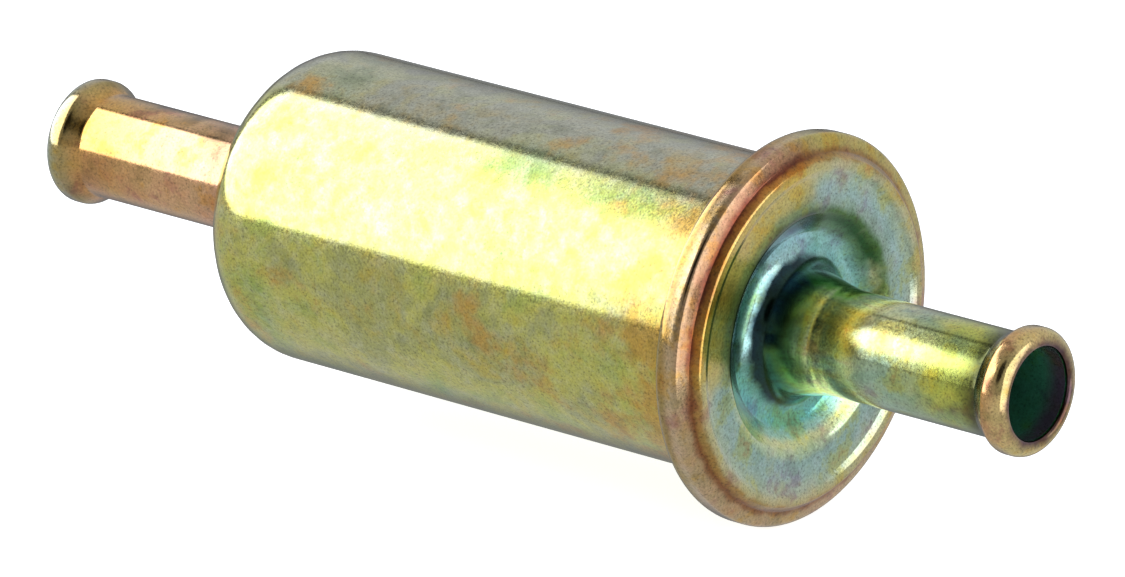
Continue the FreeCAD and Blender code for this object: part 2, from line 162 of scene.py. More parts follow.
class CoverSizes(bpy.types.PropertyGroup):
    """Sizes of the stamped cover. An inset is measured inwards from the rim's edge."""

    sheet: length("Sheet", 0.8, "Thickness of the cover's sheet")
    outlet_len: length("Outlet length", 25.3, "Distance from the face to the mouth")
    dish_depth: length("Dish depth", 1.8, "Depth of the dish below the face")
    dish_r: length("Dish radius", 8.5, "Radius of the dish's flat floor")
    dish_round: length("Dish round", 0.7, "Radius where the dish's floor turns up")
    face_r: length("Face radius", 10.9, "Radius of the face's inner edge")
    face_round: length("Face round", 1.0, "Rounding of the face's inner edge")
    flare_len: length("Flare length", 5.4, "Height of the flare over the dish's floor")
    flare_round: length("Flare round", 9.0, "Radius where the tube starts to flare")
    root_r: length("Root radius", 6.1, "Radius of the flare at the dish's floor")
    root_round: length("Root round", 2.0, "Radius where the flare meets the dish")
    foot_inset: length("Ring foot", 3.5, "Inset of the raised ring's foot")
    crest_inset: length("Ring crest", 2.9, "Inset of the inner side of the ring's crest")
    drop_inset: length("Ring drop", 2.1, "Inset of the outer side of the ring's crest")
    groove_inset: length("Groove", 1.55, "Inset of the groove's floor")
    pocket_inset: length("Seal pocket", 1.85, "Inset of the pocket behind the groove")
    ring_height: length("Ring height", 0.3, "Height of the raised ring above the face")
    groove_depth: length("Groove depth", 0.5, "Depth of the groove below the face")
    rim_drop: length("Rim drop", 0.4, "How far the rim's front lies behind the groove")
    crimp: length("Crimped sheet", 0.75, "Thickness of the sheet where it is crimped")
    curl_gap: length("Curl gap", 0.8, "Distance from the can's side to the curl's edge")
    ring_round: length("Ring round", 0.4, "Radius on the raised ring's corners")
    groove_round: length("Groove round", 0.35, "Radius in the groove")
    front_round: length("Rim front", 0.6, "Radius on the rim's front edge")
    back_round: length("Rim back", 1.0, "Radius on the rim's back edge")
    edge_round: length("Edge round", 0.3, "Radius on the curl's and foot's edges")
    crease: length("Crease", 0.1, "Radius of the creases inside the crimp")


class SpringSizes(bpy.types.PropertyGroup):
    """Wire and coils of the element's spring."""

    wire_r: length("Wire radius", 0.55, "Radius of the round wire")
    coils: amount("Coils", 5.25, "Turns of the whole spring")
    end_coils: amount("End coils", 0.9, "Turns at each end that lie closed")
    end_pitch: amount("End pitch", 1.03, "Rise of a closed turn, in wire diameters")
    sides: count("Sides", 16, "Faces round the wire")
    steps: count("Steps", 48, "Faces along each turn")


class FinishColours(bpy.types.PropertyGroup):
    """Plain colours that the finishes start from."""

    pale: colour("Pale film", "e8e8d4", "Bleached flecks in the can's film")
    amber: colour("Amber film", "e4ac48", "Thick film near the can's ends")
    tin: colour("Tin", "d6d8d8", "Tinned end caps and core")
    strip: colour("Steel strip", "c4c6c8", "Seam clip and spring seat")
    wire: colour("Spring wire", "a8a8a6", "Drawn wire of the spring")
    lamp: FloatVectorProperty(
        name="Lamp", description="Colour of both softboxes", default=(0.86, 0.89, 1.0),
        size=3, min=0.0, max=1.0, subtype="COLOR",
    )


class StageSizes(bpy.types.PropertyGroup):
    """Where the camera stands and how bright the studio is."""

    azimuth: FloatProperty(
        name="Azimuth", description="Turn of the view about the vertical",
        default=math.radians(39.7), subtype="ANGLE",
    )
    elevation: FloatProperty(
        name="Elevation", description="Height of the view above the horizon",
        default=math.radians(18.95), subtype="ANGLE",
    )
    distance: length("Distance", 1095.0, "Distance from the camera to the filter")
    aim_right: length("Aim right", 1.33, "How far right of the middle the camera aims")
    aim_down: length("Aim down", 2.3, "How far below the middle the camera aims")
    lens: amount("Lens", 396.0, "Focal length in millimetres")
    left_power: amount("Left power", 8.4, "Power of the left softbox in watts")
    right_power: amount("Right power", 2.2, "Power of the right softbox in watts")


# ------------------------------------------------------------------ mesh helpers


def rounded(corners, steps=10):
    """Points of an open outline, and for each corner the number of its middle point.

    A corner is (x, r) or, where it is rounded, (x, r, radius).
    """
    points, marks = [], []
    for number, corner in enumerate(corners):
        here = Vector(corner[:2])
        if len(corner) < 3:
            marks.append(len(points))
            points.append(here)
            continue
        before = (Vector(corners[number - 1][:2]) - here).normalized()
        after = (Vector(corners[(number + 1) % len(corners)][:2]) - here).normalized()
        half = before.angle(after) / 2
        centre = here + (before + after).normalized() * (corner[2] / math.sin(half))
        setback = corner[2] / math.tan(half)
        first = here + before * setback - centre
        sweep = first.angle_signed(here + after * setback - centre)
        count = max(2, math.ceil(steps * abs(sweep) / (math.pi / 2)))
        marks.append(len(points) + count // 2)
        for step in range(count + 1):
            turn = Matrix.Rotation(-sweep * step / count, 2)
            points.append(centre + turn @ first)
    return points, marks


def travelled(points):
    """Share of the outline's length reached at each of its points."""
    reach = [0.0]
    for before, after in zip(points, points[1:]):
        reach.append(reach[-1] + (after - before).length)
    return [step / reach[-1] for step in reach]


def guarded(points):
    """The same outline with a point near each end of its long straight runs.

    The short faces there take up the change of direction, so the long ones shade flat.
    """
    result = []
    for here, following in zip(points, points[1:] + points[:1]):
        result.append(here)
        run = following - here
        if run.length > LONG_RUN:
            step = run.normalized() * GUARD
            result += [here + step, following - step]
    return result


def share_finder(corners):
    """A function giving the share of the outline's length at a corner number.

    Numbers between two whole ones lie between those two corners.
    """
    points, marks = rounded(corners)
    reach = travelled(points)

    def share(number):
        before = math.floor(number)
        after = min(before + 1, len(marks) - 1)
        part = number - before
        return reach[marks[before]] * (1 - part) + reach[marks[after]] * part

    return share


def new_object(name, mesh_maker, material):
    """A smooth-shaded object at the origin from a bmesh."""
    mesh = bpy.data.meshes.new(name)
    mesh_maker.to_mesh(mesh)
    mesh_maker.free()
    mesh.shade_smooth()
    mesh.materials.append(material)
    piece = bpy.data.objects.new(name, mesh)
    bpy.context.scene.collection.objects.link(piece)
    return piece


def turned(name, corners, material, segments):
    """A piece spun about the X axis from its closed outline of (x, r[, radius]) corners.

    Each point keeps its share of the outline's length as the attribute "along".
    """
    points = guarded(rounded(corners)[0])
    maker = bmesh.new()
    along = maker.verts.layers.float.new("along")
    verts = []
    for point, share in zip(points, travelled(points)):
        vert = maker.verts.new((point.x, 0.0, point.y))
        vert[along] = share
        verts.append(vert)
    edges = [maker.edges.new(pair) for pair in zip(verts, verts[1:] + verts[:1])]
    bmesh.ops.spin(
        maker, geom=verts + edges, cent=(0, 0, 0), axis=(1, 0, 0), dvec=(0, 0, 0),
        angle=math.tau, steps=segments, use_merge=True, use_duplicate=False,
    )
    bmesh.ops.remove_doubles(maker, verts=maker.verts, dist=MERGE)
    bmesh.ops.recalc_face_normals(maker, faces=maker.faces)
    for edge in maker.edges:
        edge.smooth = edge.calc_face_angle(0.0) < SHARP
    return new_object(name, maker, material)


def wound(name, material, sizes):
    """A round wire wound about the X axis, with its end coils closed."""
    wire_r = sizes.wire_r
    end_rise = sizes.end_coils * 2 * wire_r * sizes.end_pitch
    open_rise = SPRING_STOP - SPRING_START - 2 * wire_r - 2 * end_rise
    stretches = (
        (sizes.end_coils, end_rise),
        (sizes.coils - 2 * sizes.end_coils, open_rise),
        (sizes.end_coils, end_rise),
    )
    maker = bmesh.new()
    start = Matrix.Translation((SPRING_START + wire_r, 0, SPRING_OUT_R - wire_r))
    made = bmesh.ops.create_circle(
        maker, cap_ends=False, segments=sizes.sides, radius=wire_r,
        matrix=start @ Matrix.Rotation(math.pi / 2, 4, "X"),
    )
    edges = {edge for vert in made["verts"] for edge in vert.link_edges}
    ring = made["verts"] + list(edges)
    bmesh.ops.contextual_create(maker, geom=ring)
    for turns, rise in stretches:
        steps = round(turns * sizes.steps)
        made = bmesh.ops.spin(
            maker, geom=ring, cent=(0, 0, 0), axis=(-1, 0, 0), dvec=(rise / steps, 0, 0),
            angle=turns * math.tau, steps=steps, use_merge=False, use_duplicate=False,
        )
        ring = [
            item for item in made["geom_last"] if not isinstance(item, bmesh.types.BMFace)
        ]
    bmesh.ops.contextual_create(maker, geom=ring)
    bmesh.ops.recalc_face_normals(maker, faces=maker.faces)
    return new_object(name, maker, material)


# ------------------------------------------------------------------ material helpers

SMOOTH = {"interpolation_type": "SMOOTHSTEP"}
SOLID = {"noise_dimensions": "4D"}
# Sockets of a Mix node: its factor, its two colours, and the colour it gives.
FACTOR, FIRST, SECOND, MIXED = 0, 6, 7, 2
BLEND = {"out": MIXED, "data_type": "RGBA"}
TINT = {**BLEND, "blend_type": "MULTIPLY"}


def feed(tree, node, inputs):
    """Sets a node's inputs, or links them to the outputs that feed them.

    They come in the order of the sockets, or keyed by the sockets' names or numbers.
    """
    for key, value in inputs.items() if isinstance(inputs, dict) else enumerate(inputs):
        if isinstance(value, bpy.types.NodeSocket):
            tree.links.new(value, node.inputs[key])
        else:
            node.inputs[key].default_value = value


def add(tree, kind, inputs=(), out=0, stops=(), **settings):
    """Adds a node with its settings and links, and gives one of its outputs.

    With out=None it gives the node itself. Stops are the (position, sRGB hex) colours of
    a node that has a colour ramp.
    """
    node = tree.nodes.new("ShaderNode" + kind)
    for key, value in settings.items():
        setattr(node, key, value)
    feed(tree, node, inputs)
    if stops:
        node.color_ramp.interpolation = "EASE"
        elements = node.color_ramp.elements
        while len(elements) < len(stops):
            elements.new(1.0)
        for element, (position, code) in zip(elements, stops):
            element.position = position
            element.color = (*linear(code), 1.0)
    return node if out is None else node.outputs[out]


def new_material(name):
    """A node material: the material, its node tree and its shader."""
    material = bpy.data.materials.new(name)
    material.use_nodes = True
    return material, material.node_tree, material.node_tree.nodes["Principled BSDF"]


def repaint(node, material):
    """Gives a CAD node a material in every slot of its object."""
    piece = frame["nodes"][node]
    if not piece.material_slots:
        piece.data.materials.append(material)
    for slot in piece.material_slots:
        slot.material = material


# ------------------------------------------------------------------ materials

# Grain of the drawn sheet. The real one is finer than shows, so it is drawn coarser.
SHEET_GRAIN = 0.24 * MM
BATH_CLOUD = 2.2 * MM       # soft unevenness left by the plating bath
GRAIN_DEPTH = 0.02 * MM
GRAIN_SPAN = (0.3, 0.7)     # noise values between which a grain's effect runs
SPECKLE = [(0.32, "b0b0ae"), (0.48, "eaeae8"), (0.66, "ffffff")]
CLOUD_TINT = [(0.32, "e4e6e0"), (0.5, "ffffff"), (0.68, "fff6e0")]
BORE_METAL = 0.35           # metallic level of the duller film in a bore
BORE_FADE = 0.01            # share of the outline over which the bore's film sets in


def plate(name, seed, colour_maker, gloss=0.14, bore_from=None):
    """Yellow zinc chromate on drawn steel: a thin, bright, uneven film of colour.

    The film is glossy but the sheet under it keeps a fine grain from drawing, so
    reflections have crisp edges with a faint mottle inside them. From the share
    bore_from of the outline on, the film is duller, as it is in a bore.
    """
    material, tree, shader = new_material(name)
    where = add(tree, "TexCoord", out="Object")
    grain = add(tree, "TexNoise", {
        "Vector": where, "W": seed + 1.0, "Scale": 1.0 / SHEET_GRAIN, "Detail": 3.0,
        "Roughness": 0.7,
    }, **SOLID)
    cloud = add(tree, "TexNoise", {
        "Vector": where, "W": seed + 2.0, "Scale": 1.0 / BATH_CLOUD, "Detail": 4.0,
        "Roughness": 0.6,
    }, **SOLID)
    film = colour_maker(tree, where, seed)
    speckle = add(tree, "ValToRGB", (grain,), stops=SPECKLE)
    tint = add(tree, "ValToRGB", (cloud,), stops=CLOUD_TINT)
    speckled = add(tree, "Mix", {FACTOR: 1.0, FIRST: film, SECOND: speckle}, **TINT)
    tinted = add(tree, "Mix", {FACTOR: 1.0, FIRST: speckled, SECOND: tint}, **TINT)
    feed(tree, shader, {
        "Base Color": tinted,
        "Metallic": 1.0,
        "Roughness": add(
            tree, "MapRange", (grain, *GRAIN_SPAN, gloss - 0.03, gloss + 0.05), **SMOOTH
        ),
        "Normal": add(
            tree, "Bump", {"Strength": 0.22, "Distance": GRAIN_DEPTH, "Height": grain}
        ),
        "Coat Weight": 0.35,
        "Coat Roughness": 0.12,
    })
    if bore_from is not None:
        along = add(tree, "Attribute", out="Fac", attribute_name="along")
        fade = (along, bore_from, bore_from + BORE_FADE, 1.0, BORE_METAL)
        feed(tree, shader, {"Metallic": add(tree, "MapRange", fade, **SMOOTH)})
    return material


# Where the can's colour changes: up its side, to a greyer top that is a painted
# reflection of the grey room, and towards its flange and its round end.
CAN_PAINTED_TOP_RISE = (0.80 * CAN_R, 0.94 * CAN_R)
CAN_FLANGE_END = (6.0 * MM, 24.0 * MM)
CAN_ROUND_END = (-16.0 * MM, -27.0 * MM)
CAN_LOWER = [
    (0.34, "a8c464"), (0.44, "ccd46c"), (0.52, "e0dc70"), (0.60, "c8c878"),
    (0.70, "e0cc5c"),
]
CAN_UPPER_PAINTED_REFLECTION = [(0.34, "b4bc98"), (0.46, "c8c8a0"), (0.56, "bcbca8"), (0.68, "ccbc8c")]
CAN_DRIFT = 9.0 * MM
CAN_SPOT = 5.5 * MM
CAN_FLECK = 1.5 * MM


def can_colours(tree, where, seed):
    """Olive yellow with drifts of green and grey; greyer on top as a painted reflection
    of the grey room, orange near the ends.
    """
    colours = bpy.context.scene.filter_colours
    x, _, z = add(tree, "SeparateXYZ", (where,), out=None).outputs
    drift = add(tree, "TexNoise", {
        "Vector": where, "W": seed, "Scale": 1.0 / CAN_DRIFT, "Detail": 4.0,
        "Roughness": 0.6, "Distortion": 0.3,
    }, **SOLID)
    spots = add(tree, "TexNoise", {
        "Vector": where, "W": seed + 5.0, "Scale": 1.0 / CAN_SPOT, "Detail": 4.0,
        "Roughness": 0.65,
    }, **SOLID)
    flecks = add(tree, "TexNoise", {
        "Vector": where, "W": seed + 9.0, "Scale": 1.0 / CAN_FLECK, "Detail": 4.0,
        "Roughness": 0.7,
    }, **SOLID)
    # The top is painted greyer, a painted reflection of the grey room above.
    film = add(tree, "Mix", {
        FACTOR: add(tree, "MapRange", (z, *CAN_PAINTED_TOP_RISE), **SMOOTH),
        FIRST: add(tree, "ValToRGB", (drift,), stops=CAN_LOWER),
        SECOND: add(tree, "ValToRGB", (drift,), stops=CAN_UPPER_PAINTED_REFLECTION),
    }, **BLEND)
    pale = add(tree, "Mix", {
        FACTOR: add(tree, "MapRange", (flecks, 0.38, 0.78, 0.0, 0.36), **SMOOTH),
        FIRST: film,
        SECOND: (*colours.pale, 1.0),
    }, **BLEND)
    flange_end = add(tree, "MapRange", (x, *CAN_FLANGE_END, 0.0, 0.15), **SMOOTH)
    round_end = add(tree, "MapRange", (x, *CAN_ROUND_END, 0.0, 0.09), **SMOOTH)
    ends = add(tree, "Math", (flange_end, round_end), operation="ADD")
    thick = add(tree, "Math", (spots, ends), operation="ADD")
    return add(tree, "Mix", {
        FACTOR: add(tree, "MapRange", (thick, 0.54, 0.74, 0.0, 0.75), **SMOOTH),
        FIRST: pale,
        SECOND: (*colours.amber, 1.0),
    }, **BLEND)


BAND_FRAY = 1.6 * MM        # grain of the bands' frayed borders
FRAY_REACH = 0.012          # share of the outline by which they fray
BAND_PATCH = 3.6 * MM
PATCH_TINT = [
    (0.34, "e0c8dc"), (0.43, "fcfcfc"), (0.53, "f4fcf4"), (0.62, "fcf4b4"),
    (0.72, "f8c078"),
]


def bands_with_painted_light(stations, warp):
    """Bands of film colour along an outline, in three versions that carry painted light.

    A station is a share of the outline's length and its colours on the lower side, the
    upper near side and the upper far side, each side painted lighter or darker as the
    light
    falls there: painted highlights and painted shade. Noise whose grains are warp across
    frays the borders between the sides.
    """

    def maker(tree, where, seed):
        along = add(tree, "Attribute", out="Fac", attribute_name="along")
        _, y, z = add(tree, "SeparateXYZ", (where,), out=None).outputs
        drift = add(tree, "TexNoise", {
            "Vector": where, "W": seed, "Scale": 1.0 / warp, "Detail": 3.0,
            "Distortion": 0.6,
        }, **SOLID)
        fray = add(tree, "TexNoise", {
            "Vector": where, "W": seed + 4.0, "Scale": 1.0 / BAND_FRAY, "Detail": 3.0,
        }, **SOLID)
        patch = add(tree, "TexNoise", {
            "Vector": where, "W": seed + 8.0, "Scale": 1.0 / BAND_PATCH, "Detail": 4.0,
            "Roughness": 0.6,
        }, **SOLID)
        offset = add(tree, "Math", (fray, 0.5), operation="SUBTRACT")
        shifted = add(tree, "Math", (offset, FRAY_REACH, along), operation="MULTIPLY_ADD")
        rise = add(tree, "Math", (z, 0.5 / RIM_R, drift), operation="MULTIPLY_ADD")
        reach = add(tree, "Math", (y, 0.8 / RIM_R, drift), operation="MULTIPLY_ADD")
        low, near, far = (
            add(tree, "ValToRGB", (shifted,), stops=[
                (station[0], station[side]) for station in stations
            ])
            for side in (1, 2, 3)
        )
        # The lower, upper near and upper far versions are painted lit and shaded copies
        # of the film.
        upper = add(tree, "Mix", {
            FACTOR: add(tree, "MapRange", (reach, 0.36, 0.70), **SMOOTH),
            FIRST: near,
            SECOND: far,
        }, **BLEND)
        film = add(tree, "Mix", {
            FACTOR: add(tree, "MapRange", (rise, 0.36, 0.62), **SMOOTH),
            FIRST: low,
            SECOND: upper,
        }, **BLEND)
        patches = add(tree, "ValToRGB", (patch,), stops=PATCH_TINT)
        return add(tree, "Mix", {FACTOR: 0.85, FIRST: film, SECOND: patches}, **TINT)

    return maker


ROLLED_GRAIN = 0.5 * MM     # drawn coarser than the real one, which is too fine to show
HANDLING_STAIN = 6.0 * MM
STAIN_TINT = (0.62, 0.62, 0.6, 1.0)


def plain_metal(name, tone, gloss, seed):
    """Plain tinned or drawn steel: neutral grey and softly bright.

    A fine rolled grain breaks up its reflections, and handling leaves wide dull stains.
    """
    material, tree, shader = new_material(name)
    where = add(tree, "TexCoord", out="Object")
    grain = add(tree, "TexNoise", {
        "Vector": where, "W": seed, "Scale": 1.0 / ROLLED_GRAIN, "Detail": 4.0,
        "Roughness": 0.7,
    }, **SOLID)
    stain = add(tree, "TexNoise", {
        "Vector": where, "W": seed + 3.0, "Scale": 1.0 / HANDLING_STAIN, "Detail": 3.0,
    }, **SOLID)
    light = (*tone, 1.0)
    dull = add(tree, "Mix", {FACTOR: 1.0, FIRST: light, SECOND: STAIN_TINT}, **TINT)
    stained = add(tree, "MapRange", (stain, 0.4, 0.7), **SMOOTH)
    feed(tree, shader, {
        "Base Color": add(
            tree, "Mix", {FACTOR: stained, FIRST: light, SECOND: dull}, **BLEND
        ),
        "Metallic": 1.0,
        "Roughness": add(
            tree, "MapRange", (grain, *GRAIN_SPAN, gloss - 0.06, gloss + 0.1), **SMOOTH
        ),
        "Normal": add(
            tree, "Bump", {"Strength": 0.2, "Distance": GRAIN_DEPTH, "Height": grain}
        ),
    })
    return material


def soft_plain(name, codes, gloss, grain_mm, depth_mm, seed):
    """Rubber, adhesive or paper: a matt ground with a fine cloudy grain."""
    material, tree, shader = new_material(name)
    where = add(tree, "TexCoord", out="Object")
    grain = add(tree, "TexNoise", {
        "Vector": where, "W": seed, "Scale": 1.0 / (grain_mm * MM), "Detail": 5.0,
        "Roughness": 0.7,
    }, **SOLID)
    low, high = GRAIN_SPAN
    stops = [(low + 0.4 * n / (len(codes) - 1), code) for n, code in enumerate(codes)]
    feed(tree, shader, {
        "Base Color": add(tree, "ValToRGB", (grain,), stops=stops),
        "Roughness": add(
            tree, "MapRange", (grain, low, high, gloss - 0.08, gloss + 0.08), **SMOOTH
        ),
        "Normal": add(
            tree, "Bump", {"Strength": 0.4, "Distance": depth_mm * MM, "Height": grain}
        ),
    })
    return material


# ------------------------------------------------------------------ outlines


def can_outline(sizes):
    """Can's sheet: closed end, side and flange, then back inside."""
    wall, end_round, edge = sizes.wall, sizes.end_round, sizes.flange_round
    flange = CAN_STOP - wall
    hole_r = TUBE_R + sizes.hole_gap
    return [
        (CAN_START, hole_r, sizes.hole_round),
        (CAN_START, CAN_R, end_round),
        (flange, CAN_R, wall),
        (flange, FLANGE_R, edge),
        (CAN_STOP, FLANGE_R, edge),
        (CAN_STOP, CAN_R - wall, 2 * wall),
        (CAN_START + wall, CAN_R - wall, end_round - wall),
        (CAN_START + wall, hole_r, sizes.hole_round),
    ]


def bead_outline(tip, inward, sizes):
    """Rolled bead at a tube's mouth, from the bore round to the plain tube."""
    return [
        (tip, BORE_R, sizes.mouth_round),
        (tip, sizes.bead_r, sizes.lip_round),
        (tip + inward * sizes.bead_flat, sizes.bead_r, sizes.crown_round),
        (tip + inward * sizes.bead_len, TUBE_R, sizes.foot_round),
    ]


def inlet_outline(sizes):
    """Inlet tube: bead, plain tube, and the collar inside the can."""
    back = COLLAR_TIP - sizes.collar_wall
    return bead_outline(INLET_TIP, 1, sizes) + [
        (back, TUBE_R),
        (back, COLLAR_R, sizes.collar_round),
        (COLLAR_TIP, COLLAR_R, sizes.collar_round),
        (COLLAR_TIP, BORE_R, sizes.mouth_round),
        (INLET_TIP + MOUTH_STEP, BORE_R),
    ]


BRAZE_GAP = 0.01 * MM       # between the tube and the fillet
BRAZE_EDGE = 0.02 * MM      # radius on the fillet's thin edges
BRAZE_WAIST = 0.25 * MM     # how far the fillet's middle corner is from both walls
BRAZE_HOLLOW = 0.3 * MM     # radius of that hollow side


def braze_outline():
    """Hollow fillet of braze between the inlet tube and the can's end."""
    return [
        (BRAZE_START, TUBE_R + BRAZE_GAP, BRAZE_EDGE),
        (BRAZE_STOP - BRAZE_WAIST, TUBE_R + BRAZE_WAIST, BRAZE_HOLLOW),
        (BRAZE_STOP, BRAZE_R, BRAZE_EDGE),
        (BRAZE_STOP, TUBE_R + BRAZE_GAP, BRAZE_EDGE),
    ]


def cover_outline(housing, sizes):
    """Cover's sheet, from the outlet's mouth over the face to the curl, then inside."""
    sheet, crease = sizes.sheet, sizes.crease
    face = OUTLET_TIP - sizes.outlet_len
    floor = face - sizes.dish_depth
    valley = face - sizes.groove_depth
    ring = face + sizes.ring_height
    flare = floor + sizes.flare_len
    foot_r = RIM_R - sizes.foot_inset
    crest_r = RIM_R - sizes.crest_inset
    drop_r = RIM_R - sizes.drop_inset
    rim_in_r = RIM_R - sizes.crimp
    curl_r = CAN_R + sizes.curl_gap
    flange = RIM_BACK + sizes.crimp
    return bead_outline(OUTLET_TIP, -1, housing) + [
        (flare, TUBE_R, sizes.flare_round),
        (floor, sizes.root_r, sizes.root_round),
        (floor, sizes.dish_r, sizes.dish_round),
        (face, sizes.face_r, sizes.face_round),
        (face, foot_r, sizes.ring_round),
        (ring, crest_r, sizes.ring_round),
        (ring, drop_r, sizes.ring_round),
        (valley, RIM_R - sizes.groove_inset, sizes.groove_round),
        (valley - sizes.rim_drop, RIM_R, sizes.front_round),
        (RIM_BACK, RIM_R, sizes.back_round),
        (RIM_BACK, curl_r, sizes.edge_round),
        (flange, curl_r, crease),
        (flange, rim_in_r, crease),
        (SEAL_FRONT, rim_in_r, crease),
        (SEAL_FRONT, RIM_R - sizes.pocket_inset, crease),
        (ring - sheet, drop_r, crease),
        (ring - sheet, crest_r, crease),
        (face - sheet, foot_r, sizes.edge_round),
        (face - sheet, sizes.face_r + sheet / 2, sizes.face_round),
        (floor - sheet, sizes.dish_r + sheet / 2, sizes.dish_round),
        (floor - sheet, sizes.root_r - sheet, sizes.root_round + sheet),
        (flare, BORE_R, sizes.flare_round),
        (OUTLET_TIP - MOUTH_STEP, BORE_R),
    ]


# Film colours at corners of an outline, with painted highlights and painted shade: on its
# lower side, upper near side and upper far side. The numbers count the corners of the
# outline above, from the mouth's bore.
# On the inlet, the upper near side is a painted highlight and the upper far side is
# painted dark brown as shade.
INLET_FILM_AND_PAINTED_LIGHT = [
    (0.0, "b8b8a4", "b8b8a4", "a09878"),    # mouth
    (1.0, "b4beb0", "c4ccb8", "988c68"),    # lip of the bead
    (2.0, "bca478", "d4b474", "8c7840"),    # crown
    (3.0, "dca064", "f0b868", "8c7038"),    # foot
    (3.5, "f0b880", "f8c490", "785c34"),    # plain tube
    (4.0, "e0a090", "eca890", "886848"),
    (8.0, "a89c6c", "a89c6c", "a89c6c"),    # inside
]
COVER_FILM_AND_PAINTED_LIGHT = [
    (0.0, "684850", "784c50", "684850"),    # mouth
    (1.0, "f8dc98", "f8d890", "ecd090"),    # lip of the bead
    (2.0, "dcb070", "e8b074", "d0b880"),    # crown
    (2.9, "4c542c", "585830", "505c34"),    # dark ring behind the bead, a painted reflection of the dark room
    (3.15, "b0c078", "dcdc5c", "98ac78"),
    (3.6, "b8d4b8", "f8f4b8", "98b8b0"),    # plain tube, with a painted highlight on its upper near side
    (4.0, "acd0b4", "e4f0b4", "80a89c"),
    (4.2, "80b088", "98b870", "78a48c"),
    (4.38, "589064", "487c4c", "4c8060"),   # flare, painted dark as shade
    (4.6, "305c40", "204834", "346048"),
    (4.8, "2c5040", "24443c", "345c54"),
    (5.0, "284848", "1c3844", "345c58"),    # root, painted dark as shade
    (5.4, "80c4b0", "b8e4e0", "8cccc8"),    # dish floor
    (6.0, "80d0cc", "b0e4ec", "a8e0d8"),
    (6.4, "b4e0cc", "4c6c98", "68946c"),    # dish wall: a painted highlight on the lower side, a painted dark crescent of shade on the upper sides
    (6.7, "f4f4b4", "1c2c5c", "2c6030"),
    (7.0, "d4e4bc", "40504c", "5c8448"),
    (7.25, "b0ccc4", "98a878", "b0c8b8"),   # flat of the face
    (7.6, "b8d0c8", "e0cc80", "bcd8d4"),
    (8.0, "c8d4bc", "ecd080", "c8d8c0"),
    (9.5, "dcd09c", "f0d480", "e4d8a8"),    # raised ring
    (10.3, "c89c54", "d88c3c", "c89c50"),
    (11.0, "9c6034", "7c3420", "a87844"),   # groove, painted dark as shade in its hollow
    (11.5, "d8b488", "c4906c", "d4bc70"),   # rim band
    (12.3, "e4c49c", "dcb890", "dcc87c"),
    (12.7, "b89c60", "c09858", "b8a468"),
    (13.0, "c8ac70", "ccac68", "c8b074"),
    (24.0, "a4a470", "a4a470", "a4a470"),   # inside
    (25.0, "4c9078", "4c9078", "4c9078"),   # bore, painted green to stand in for the glow inside the mouth
    (25.88, "448c70", "448c70", "448c70"),
    (25.97, "54485c", "54485c", "54485c"),
]
INLET_WARP = 5.0 * MM       # grain of the drift between the film's painted lit and shaded sides
COVER_WARP = 6.0 * MM
BORE_CORNER = 25.0          # corner of the cover's outline where its bore starts


def film_and_painted_light_bands(outline, film, warp):
    """Colour maker for a piece whose film, with its painted highlights and shade, is
    listed by corner numbers.
    """
    share = share_finder(outline)
    return bands_with_painted_light([(share(station[0]), *station[1:]) for station in film], warp)


# ------------------------------------------------------------------ operators


class FILTER_OT_can(bpy.types.Operator):
    """Turn the drawn can with its rounded end and its flange."""

    bl_idname = "fuel_filter.can"
    bl_label = "Can"

    def execute(self, context):
        sizes = context.scene.filter_housing
        film = plate("zinc_chromate_with_painted_reflection_on_can", 11.0, can_colours)
        can = turned("drawn_can", can_outline(sizes), film, sizes.segments)
        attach(can, HOUSING)
        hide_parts("can_shell")
        return {"FINISHED"}


class FILTER_OT_inlet(bpy.types.Operator):
    """Turn the beaded inlet tube and the braze that joins it to the can."""

    bl_idname = "fuel_filter.inlet"
    bl_label = "Inlet tube"

    def execute(self, context):
        sizes = context.scene.filter_housing
        outline = inlet_outline(sizes)
        bands = film_and_painted_light_bands(outline, INLET_FILM_AND_PAINTED_LIGHT, INLET_WARP)
        film = plate("zinc_chromate_with_painted_light_on_inlet_tube", 23.0, bands)
        tube = turned("beaded_inlet_tube", outline, film, sizes.segments)
        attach(tube, HOUSING)
        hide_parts("inlet_nipple")
        # Braze runs rough, so its plating is duller than the sheet's.
        film = plate("zinc_chromate_on_braze", 31.0, can_colours, gloss=0.35)
        braze = turned("inlet_braze_fillet", braze_outline(), film, sizes.segments)
        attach(braze, HOUSING)
        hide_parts("inlet_braze_ring")
        return {"FINISHED"}


class FILTER_OT_cover(bpy.types.Operator):
    """Turn the stamped cover with its outlet tube and its curled rim."""

    bl_idname = "fuel_filter.cover"
    bl_label = "End cover"

    def execute(self, context):
        housing = context.scene.filter_housing
        outline = cover_outline(housing, context.scene.filter_cover)
        film = plate(
            "zinc_chromate_with_painted_light_on_cover", 47.0, film_and_painted_light_bands(outline, COVER_FILM_AND_PAINTED_LIGHT, COVER_WARP),
            bore_from=share_finder(outline)(BORE_CORNER),
        )
        cover = turned("stamped_end_cover", outline, film, housing.segments)
        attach(cover, HOUSING)
        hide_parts("end_cover")
        return {"FINISHED"}


